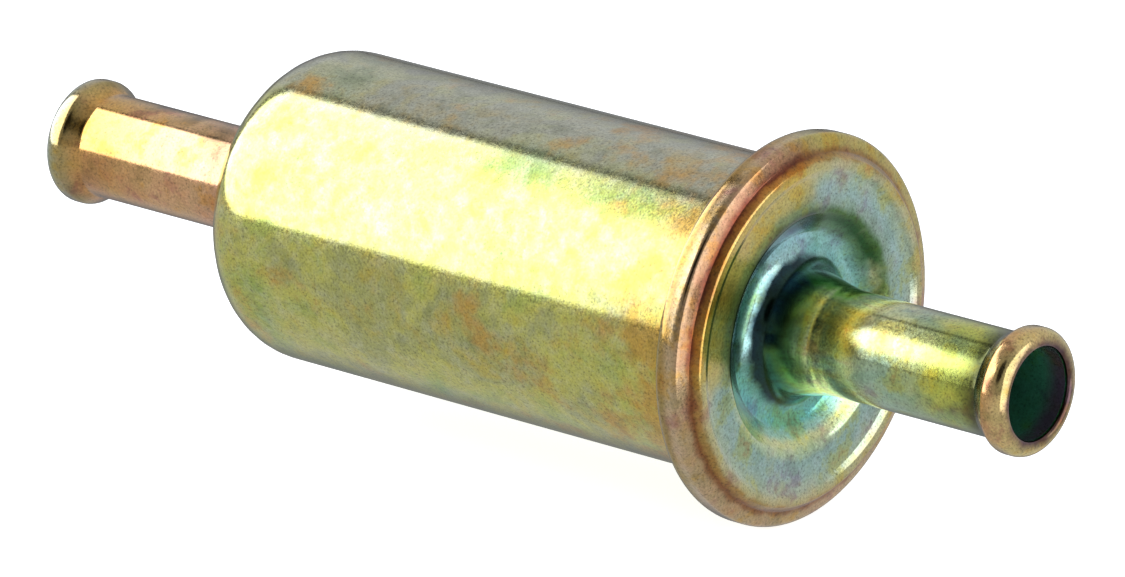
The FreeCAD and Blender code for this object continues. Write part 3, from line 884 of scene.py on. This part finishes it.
class FILTER_OT_inner_finishes(bpy.types.Operator):
    """Give the pieces inside the housing their finishes."""

    bl_idname = "fuel_filter.inner_finishes"
    bl_label = "Inner finishes"

    def execute(self, context):
        colours = context.scene.filter_colours
        # Tinplate is softly bright; bare rolled strip is a little greyer and duller.
        tin = plain_metal("tinned_steel", colours.tin, 0.3, 61.0)
        strip = plain_metal("cold_rolled_steel_strip", colours.strip, 0.35, 67.0)
        # Moulded nitrile: near black and matt, with the mould's fine texture.
        rubber = soft_plain(
            "nitrile_rubber", ["0d0d0e", "161617", "1e1e20"], 0.6, 0.4, 0.02, 71.0
        )
        # Poured and cured plastisol: waxy amber, glossier than paper, softly uneven.
        glue = soft_plain(
            "cured_plastisol", ["b98a3c", "cc9c4a", "d8ac5c"], 0.35, 1.5, 0.03, 73.0
        )
        # Resin-treated paper: dry tan fibres, darker where the resin gathers.
        paper = soft_plain(
            "resin_filter_paper", ["c49a58", "d8b274", "e6c68c"], 0.9, 0.5, 0.05, 79.0
        )
        finishes = {
            tin: ["core_tube", "inlet_end_cap", "outlet_end_cap"],
            strip: ["pleat_seam_clip", "spring_seat"],
            rubber: ["cover_seal", "outlet_grommet"],
            glue: ["inlet_potting", "outlet_potting"],
            paper: ["pleated_paper"],
        }
        for material, names in finishes.items():
            for name in names:
                repaint(name, material)
        return {"FINISHED"}


class FILTER_OT_spring(bpy.types.Operator):
    """Wind the round-wire spring that holds the element against the cover."""

    bl_idname = "fuel_filter.spring"
    bl_label = "Element spring"

    def execute(self, context):
        scene = context.scene
        # Drawn wire is darker than sheet and a little shinier.
        wire = plain_metal("drawn_spring_wire", scene.filter_colours.wire, 0.28, 83.0)
        spring = wound("element_coil_spring", wire, scene.filter_spring)
        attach(spring, HOUSING)
        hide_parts("element_spring")
        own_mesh(spring)
        return {"FINISHED"}


class FILTER_OT_studio(bpy.types.Operator):
    """Lay the pale floor, hang the soft lights and place the camera."""

    bl_idname = "fuel_filter.studio"
    bl_label = "Studio"

    def execute(self, context):
        scene = context.scene
        stage = scene.filter_stage
        scene.view_settings.view_transform = "Standard"
        lay_floor()
        paint_world(scene)
        hang_light("left_softbox", *LEFT_SOFTBOX, stage.left_power)
        hang_light("right_softbox", *RIGHT_SOFTBOX, stage.right_power)
        place_camera(scene, stage)
        return {"FINISHED"}


# ------------------------------------------------------------------ stage

WHITE = (1.0, 1.0, 1.0, 1.0)
FLOOR_HALF = 4.0
CARD_FIBRE = 30.0 * MM
CARD_GLOW = 0.75
# Where each softbox hangs, and its width and height, in metres.
LEFT_SOFTBOX = ((-0.6, -0.36, 0.40), (0.96, 0.81))
RIGHT_SOFTBOX = ((0.6, 0.06, 0.10), (0.66, 0.62))
# Room levels: where along y the change starts and ends, and the levels there.
GROUND = (0.2, 0.9, 0.62, 0.74)
SKY = (-0.3, 0.3, 0.36, 0.72)
HORIZON = (-0.05, 0.1)
ROOM_TINT = (0.92, 0.95, 1.0, 1.0)
# Dark patches: where they lie, the cosines where they start and are full, and the light
# that is left there.
DARK_PATCHES = (
    ((0.22, -0.72, 0.66), 0.90, 0.97, 0.06),    # behind the camera
    ((-0.60, 0.73, -0.32), 0.75, 1.00, 0.35),   # low behind the can
)
# Dark strips along the left softbox's edges, by the slope seen from the filter.
STRIP_BESIDE = (0.16, 0.40)
STRIP_BELOW = (-0.08, 0.02)
STRIP_CORE = 0.4            # share of a strip's half width that is fully dark
STRIP_DARK = 0.7
STRIP_LEFT = (-0.45, -0.55)
STRIP_ALOFT = (-0.15, -0.08)
LEAST_LEFT = 0.05           # keeps the slopes finite on the other side


def lay_floor():
    """Pale card just under the filter's rim: white, even and matt, with faint fibres."""
    material, tree, shader = new_material("pale_studio_card")
    where = add(tree, "TexCoord", out="Object")
    fibre = add(tree, "TexNoise", {
        "Vector": where, "W": 3.0, "Scale": 1.0 / CARD_FIBRE, "Detail": 3.0,
    }, **SOLID)
    stops = [(0.3, "f4f4f2"), (0.7, "f7f7f6")]
    feed(tree, shader, {
        "Base Color": add(tree, "ValToRGB", (fibre,), stops=stops),
        "Roughness": 0.9,
        "Emission Color": WHITE,
        "Emission Strength": CARD_GLOW,
    })
    maker = bmesh.new()
    below = Matrix.Translation((0.0, 0.0, -RIM_R))
    bmesh.ops.create_grid(
        maker, x_segments=1, y_segments=1, size=FLOOR_HALF, matrix=below
    )
    floor = new_object("studio_floor", maker, material)
    floor.visible_glossy = False


def paint_world(scene):
    """Soft grey room that the camera sees white.

    It is dark towards the camera's side, with dark edges to the left softbox.
    """
    world = scene.world or bpy.data.worlds.new("studio_room")
    scene.world = world
    world.use_nodes = True
    tree = world.node_tree
    tree.nodes.clear()
    where = add(tree, "TexCoord", out="Generated")
    x, y, z = add(tree, "SeparateXYZ", (where,), out=None).outputs
    ground = add(tree, "MapRange", (y, *GROUND), **SMOOTH)
    sky = add(tree, "MapRange", (y, *SKY), **SMOOTH)
    upward = add(tree, "MapRange", (z, *HORIZON), **SMOOTH)
    gap = add(tree, "Math", (sky, ground), operation="SUBTRACT")
    level = add(tree, "Math", (gap, upward, ground), operation="MULTIPLY_ADD")
    for towards, start, full, left in DARK_PATCHES:
        facing = add(
            tree, "VectorMath", (where, Vector(towards).normalized()), out="Value",
            operation="DOT_PRODUCT",
        )
        patch = add(tree, "MapRange", (facing, start, full, 1.0, left), **SMOOTH)
        level = add(tree, "Math", (level, patch), operation="MULTIPLY")
    turned_x = add(tree, "Math", (x, -1.0), operation="MULTIPLY")
    leftward = add(tree, "Math", (turned_x, LEAST_LEFT), operation="MAXIMUM")
    across = add(tree, "Math", (y, leftward), operation="DIVIDE")
    above = add(tree, "Math", (z, leftward), operation="DIVIDE")
    on_left = add(tree, "MapRange", (x, *STRIP_LEFT), **SMOOTH)
    aloft = add(tree, "MapRange", (z, *STRIP_ALOFT), **SMOOTH)
    for slope, (low, high) in ((across, STRIP_BESIDE), (above, STRIP_BELOW)):
        middle, half = (low + high) / 2, (high - low) / 2
        offset = add(tree, "Math", (slope, middle), operation="SUBTRACT")
        away = add(tree, "Math", (offset,), operation="ABSOLUTE")
        fade = (away, half * STRIP_CORE, half, STRIP_DARK, 0.0)
        shade = add(tree, "MapRange", fade, **SMOOTH)
        for limit in (on_left, aloft):
            shade = add(tree, "Math", (shade, limit), operation="MULTIPLY")
        lit = add(tree, "Math", (1.0, shade), operation="SUBTRACT")
        level = add(tree, "Math", (level, lit), operation="MULTIPLY")
    seen = add(tree, "LightPath", out="Is Camera Ray")
    tint = add(tree, "Mix", {FACTOR: seen, FIRST: ROOM_TINT, SECOND: WHITE}, **BLEND)
    background = add(tree, "Background", {
        "Color": tint,
        "Strength": add(tree, "Math", (level, seen), operation="MAXIMUM"),
    })
    add(tree, "OutputWorld", {"Surface": background}, out=None)


def hang_light(name, place, size, power):
    """A rectangular soft light that faces the filter square to the X axis."""
    lamp = bpy.data.lights.new(name, "AREA")
    lamp.shape = "RECTANGLE"
    lamp.size, lamp.size_y = size
    lamp.energy = power
    lamp.color = bpy.context.scene.filter_colours.lamp
    light = bpy.data.objects.new(name, lamp)
    behind = Vector((math.copysign(1.0, place[0]), 0.0, 0.0))
    upward = Vector((0.0, 0.0, 1.0))
    axes = Matrix((upward.cross(behind), upward, behind)).transposed().to_4x4()
    light.matrix_world = Matrix.Translation(place) @ axes
    light.visible_camera = False
    bpy.context.scene.collection.objects.link(light)


def place_camera(scene, stage):
    """Long-lens camera at the stage's angle, aimed a little below the middle."""
    turn, rise = stage.azimuth, stage.elevation
    back = Vector((
        math.sin(turn) * math.cos(rise), -math.cos(turn) * math.cos(rise), math.sin(rise)
    ))
    right = Vector((math.cos(turn), math.sin(turn), 0.0))
    upward = back.cross(right)
    aim = right * stage.aim_right - upward * stage.aim_down
    camera = bpy.data.objects.new("camera", bpy.data.cameras.new("camera"))
    camera.data.lens = stage.lens
    camera.data.sensor_width = 36.0
    camera.data.clip_start = 0.05
    axes = Matrix((right, upward, back)).transposed().to_4x4()
    camera.matrix_world = Matrix.Translation(aim + back * stage.distance) @ axes
    scene.collection.objects.link(camera)
    scene.camera = camera


class FILTER_PT_panel(bpy.types.Panel):
    """Sizes and colours of the filter and a button for each of its pieces."""

    bl_idname = "FILTER_PT_panel"
    bl_label = "In-line fuel filter"
    bl_space_type = "VIEW_3D"
    bl_region_type = "UI"
    bl_category = "Fuel filter"

    def draw(self, context):
        for key in GROUPS:
            group = getattr(context.scene, key)
            box = self.layout.box()
            for name in group.__annotations__:
                box.prop(group, name)
        for operator in OPERATORS:
            self.layout.operator(operator.bl_idname)


GROUPS = {
    "filter_housing": HousingSizes,
    "filter_cover": CoverSizes,
    "filter_spring": SpringSizes,
    "filter_colours": FinishColours,
    "filter_stage": StageSizes,
}
OPERATORS = (
    FILTER_OT_can,
    FILTER_OT_inlet,
    FILTER_OT_cover,
    FILTER_OT_inner_finishes,
    FILTER_OT_spring,
    FILTER_OT_studio,
)


def register():
    for part in (*GROUPS.values(), *OPERATORS, FILTER_PT_panel):
        bpy.utils.register_class(part)
    for key, group in GROUPS.items():
        setattr(bpy.types.Scene, key, PointerProperty(type=group))


def unregister():
    for key in GROUPS:
        delattr(bpy.types.Scene, key)
    for part in reversed((*GROUPS.values(), *OPERATORS, FILTER_PT_panel)):
        bpy.utils.unregister_class(part)


def main():
    """Builds the whole filter, one operator after another."""
    register()
    for operator in OPERATORS:
        group, name = operator.bl_idname.split(".")
        getattr(getattr(bpy.ops, group), name)()


if __name__ == "__main__":
    main()
